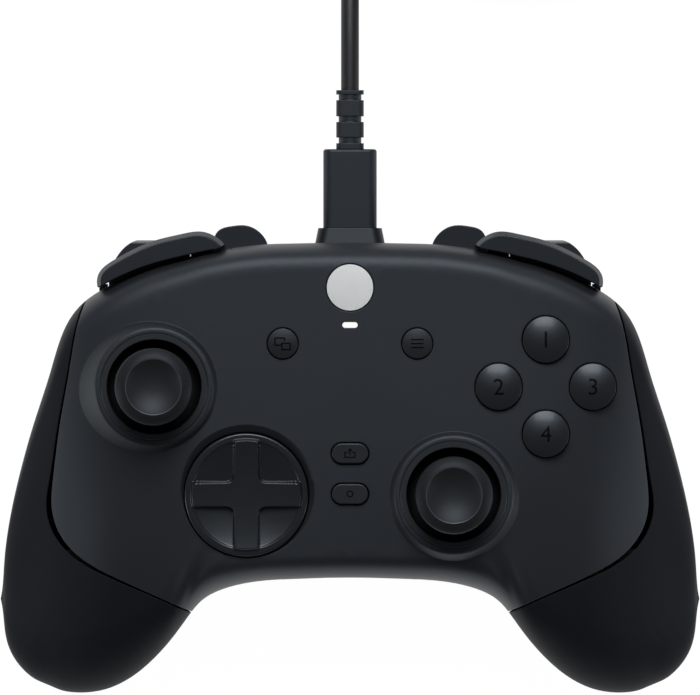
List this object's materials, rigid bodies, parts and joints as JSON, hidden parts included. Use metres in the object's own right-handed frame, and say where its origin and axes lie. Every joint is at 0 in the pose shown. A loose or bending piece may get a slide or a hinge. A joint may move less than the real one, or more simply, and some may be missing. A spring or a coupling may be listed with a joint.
{
  "type": "gamepad controller",
  "caption": "Two-handed wired gamepad with offset thumb sticks, direction pad, face buttons, bumpers, pull triggers, rear buttons and a detachable cable wound in a coil.",
  "frame": {"origin": "centre of the controller's own box in plan, on the surface that its grips and triggers stand on; the cable isn't counted", "axes": "+Z out of the face, +Y towards the cable socket and the triggers, +X to the player's right"},
  "size_m": [0.16, 0.2784, 0.0645],
  "materials": {
    "case": "fine matt texture, near black",
    "grip": "soft matt rubber, near black",
    "gloss": "polished black",
    "button": "satin black",
    "pale": "satin pale grey",
    "light": "clear, lit white",
    "stick": "matt rubber, near black",
    "inner": "plain moulded grey",
    "steel": "bright drawn steel",
    "board": "green solder mask",
    "cable": "matt black jacket",
    "tie": "black woven tape"
  },
  "bodies": {
    "root": {"button_switches": "inner", "cable_coil": "cable", "cable_lead": "cable", "cable_plug": "case", "cable_strap": "tie", "case_screws": "steel", "dpad_socket": "inner", "far_end_plug": "case", "front_cover": "case", "headset_jack": "inner", "hinge_pins": "steel", "left_grip_cover": "case", "left_rear_grip": "grip", "main_board": "board", "mid_frame": "inner", "plug_shells": "steel", "port_surround": "case", "rear_cover": "case", "right_grip_cover": "case", "right_rear_grip": "grip", "rumble_motors": "steel", "status_light_lens": "light", "stick_gate_rings": "gloss", "stick_housings": "inner", "strain_relief": "cable", "trigger_springs": "steel", "usb_receptacle": "steel"},
    "top_face_button": {"top_face_button": "gloss"},
    "left_face_button": {"left_face_button": "gloss"},
    "right_face_button": {"right_face_button": "gloss"},
    "bottom_face_button": {"bottom_face_button": "gloss"},
    "view_button": {"view_button": "button"},
    "menu_button": {"menu_button": "button"},
    "home_button": {"home_button": "pale"},
    "share_button": {"share_button": "button"},
    "profile_button": {"profile_button": "button"},
    "left_claw_button": {"left_claw_button": "button"},
    "left_upper_rear_button": {"left_upper_rear_button": "button"},
    "left_lower_rear_button": {"left_lower_rear_button": "button"},
    "right_claw_button": {"right_claw_button": "button"},
    "right_upper_rear_button": {"right_upper_rear_button": "button"},
    "right_lower_rear_button": {"right_lower_rear_button": "button"},
    "left_stick_rocker": {"left_stick_rocker": "steel"},
    "left_stick_yoke": {"left_stick_yoke": "inner"},
    "left_stick": {"left_thumb_cap": "stick", "left_stick_shaft": "steel"},
    "right_stick_rocker": {"right_stick_rocker": "steel"},
    "right_stick_yoke": {"right_stick_yoke": "inner"},
    "right_stick": {"right_thumb_cap": "stick", "right_stick_shaft": "steel"},
    "dpad_pivot_cup": {"dpad_pivot_cup": "inner"},
    "dpad": {"dpad": "gloss"},
    "left_bumper": {"left_bumper": "gloss"},
    "left_trigger": {"left_trigger": "button"},
    "left_trigger_stop": {"left_trigger_stop": "inner"},
    "left_rumble_weight": {"left_rumble_weight": "steel"},
    "right_bumper": {"right_bumper": "gloss"},
    "right_trigger": {"right_trigger": "button"},
    "right_trigger_stop": {"right_trigger_stop": "inner"},
    "right_rumble_weight": {"right_rumble_weight": "steel"}
  },
  "joints": [
    {"name": "top_face_button_press", "type": "slide", "parent": "root", "child": "top_face_button", "axis": [0, 0, -1], "range_m": [0, 0.001], "stiffness_N_per_m": 700, "springref_m": -0.0004},
    {"name": "left_face_button_press", "type": "slide", "parent": "root", "child": "left_face_button", "axis": [0, 0, -1], "range_m": [0, 0.001], "stiffness_N_per_m": 700, "springref_m": -0.0004},
    {"name": "right_face_button_press", "type": "slide", "parent": "root", "child": "right_face_button", "axis": [0, 0, -1], "range_m": [0, 0.001], "stiffness_N_per_m": 700, "springref_m": -0.0004},
    {"name": "bottom_face_button_press", "type": "slide", "parent": "root", "child": "bottom_face_button", "axis": [0, 0, -1], "range_m": [0, 0.001], "stiffness_N_per_m": 700, "springref_m": -0.0004},
    {"name": "view_button_press", "type": "slide", "parent": "root", "child": "view_button", "axis": [0, 0, -1], "range_m": [0, 0.0006], "stiffness_N_per_m": 1200, "springref_m": -0.0004},
    {"name": "menu_button_press", "type": "slide", "parent": "root", "child": "menu_button", "axis": [0, 0, -1], "range_m": [0, 0.0006], "stiffness_N_per_m": 1200, "springref_m": -0.0004},
    {"name": "home_button_press", "type": "slide", "parent": "root", "child": "home_button", "axis": [0, 0, -1], "range_m": [0, 0.0006], "stiffness_N_per_m": 1200, "springref_m": -0.0004},
    {"name": "share_button_press", "type": "slide", "parent": "root", "child": "share_button", "axis": [0, 0, -1], "range_m": [0, 0.0006], "stiffness_N_per_m": 1200, "springref_m": -0.0004},
    {"name": "profile_button_press", "type": "slide", "parent": "root", "child": "profile_button", "axis": [0, 0, -1], "range_m": [0, 0.0006], "stiffness_N_per_m": 1200, "springref_m": -0.0004},
    {"name": "left_claw_button_press", "type": "slide", "parent": "root", "child": "left_claw_button", "axis": [0, -1, 0], "range_m": [0, 0.0009], "stiffness_N_per_m": 800, "springref_m": -0.0004},
    {"name": "left_upper_rear_button_press", "type": "slide", "parent": "root", "child": "left_upper_rear_button", "axis": [0, 0, 1], "range_m": [0, 0.0008], "stiffness_N_per_m": 800, "springref_m": -0.0004},
    {"name": "left_lower_rear_button_press", "type": "slide", "parent": "root", "child": "left_lower_rear_button", "axis": [0, 0, 1], "range_m": [0, 0.0008], "stiffness_N_per_m": 800, "springref_m": -0.0004},
    {"name": "right_claw_button_press", "type": "slide", "parent": "root", "child": "right_claw_button", "axis": [0, -1, 0], "range_m": [0, 0.0009], "stiffness_N_per_m": 800, "springref_m": -0.0004},
    {"name": "right_upper_rear_button_press", "type": "slide", "parent": "root", "child": "right_upper_rear_button", "axis": [0, 0, 1], "range_m": [0, 0.0008], "stiffness_N_per_m": 800, "springref_m": -0.0004},
    {"name": "right_lower_rear_button_press", "type": "slide", "parent": "root", "child": "right_lower_rear_button", "axis": [0, 0, 1], "range_m": [0, 0.0008], "stiffness_N_per_m": 800, "springref_m": -0.0004},
    {"name": "left_stick_up_down", "type": "hinge", "parent": "root", "child": "left_stick_rocker", "pos_m": [-0.0444, 0.0168, 0.0365], "axis": [1, 0, 0], "range_deg": [-16, 16], "stiffness_Nm_per_rad": 0.04},
    {"name": "left_stick_left_right", "type": "hinge", "parent": "left_stick_rocker", "child": "left_stick_yoke", "pos_m": [-0.0444, 0.0168, 0.0365], "axis": [0, 1, 0], "range_deg": [-16, 16], "stiffness_Nm_per_rad": 0.04},
    {"name": "left_stick_press", "type": "slide", "parent": "left_stick_yoke", "child": "left_stick", "axis": [0, 0, -1], "range_m": [0, 0.0006], "stiffness_N_per_m": 2500, "springref_m": -0.0004},
    {"name": "right_stick_up_down", "type": "hinge", "parent": "root", "child": "right_stick_rocker", "pos_m": [0.0235, -0.0077, 0.0365], "axis": [1, 0, 0], "range_deg": [-16, 16], "stiffness_Nm_per_rad": 0.04},
    {"name": "right_stick_left_right", "type": "hinge", "parent": "right_stick_rocker", "child": "right_stick_yoke", "pos_m": [0.0235, -0.0077, 0.0365], "axis": [0, 1, 0], "range_deg": [-16, 16], "stiffness_Nm_per_rad": 0.04},
    {"name": "right_stick_press", "type": "slide", "parent": "right_stick_yoke", "child": "right_stick", "axis": [0, 0, -1], "range_m": [0, 0.0006], "stiffness_N_per_m": 2500, "springref_m": -0.0004},
    {"name": "dpad_up_down", "type": "hinge", "parent": "root", "child": "dpad_pivot_cup", "pos_m": [-0.0235, -0.0077, 0.0505], "axis": [1, 0, 0], "range_deg": [-4.5, 4.5], "stiffness_Nm_per_rad": 0.15},
    {"name": "dpad_left_right", "type": "hinge", "parent": "dpad_pivot_cup", "child": "dpad", "pos_m": [-0.0235, -0.0077, 0.0505], "axis": [0, 1, 0], "range_deg": [-4.5, 4.5], "stiffness_Nm_per_rad": 0.15},
    {"name": "left_bumper_press", "type": "hinge", "parent": "root", "child": "left_bumper", "pos_m": [-0.0294, 0.0424, 0.041], "axis": [0, 0, 1], "range_deg": [0, 1.2], "stiffness_Nm_per_rad": 0.8, "springref_deg": -1.15},
    {"name": "left_trigger_pull", "type": "hinge", "parent": "root", "child": "left_trigger", "pos_m": [-0.04575, 0.033, 0.0366], "axis": [-1, 0, 0], "range_deg": [0, 14], "stiffness_Nm_per_rad": 0.08, "springref_deg": -20.05},
    {"name": "left_trigger_stop_slide", "type": "slide", "parent": "root", "child": "left_trigger_stop", "axis": [-1, 0, 0], "range_m": [0, 0.004]},
    {"name": "left_rumble_spin", "type": "hinge", "parent": "root", "child": "left_rumble_weight", "pos_m": [-0.06, -0.0235, 0.022], "axis": [0, 1, 0], "continuous": true},
    {"name": "right_bumper_press", "type": "hinge", "parent": "root", "child": "right_bumper", "pos_m": [0.0294, 0.0424, 0.041], "axis": [0, 0, -1], "range_deg": [0, 1.2], "stiffness_Nm_per_rad": 0.8, "springref_deg": -1.15},
    {"name": "right_trigger_pull", "type": "hinge", "parent": "root", "child": "right_trigger", "pos_m": [0.04575, 0.033, 0.0366], "axis": [-1, 0, 0], "range_deg": [0, 14], "stiffness_Nm_per_rad": 0.08, "springref_deg": -20.05},
    {"name": "right_trigger_stop_slide", "type": "slide", "parent": "root", "child": "right_trigger_stop", "axis": [1, 0, 0], "range_m": [0, 0.004]},
    {"name": "right_rumble_spin", "type": "hinge", "parent": "root", "child": "right_rumble_weight", "pos_m": [0.06, -0.0235, 0.022], "axis": [0, 1, 0], "continuous": true}
  ]
}
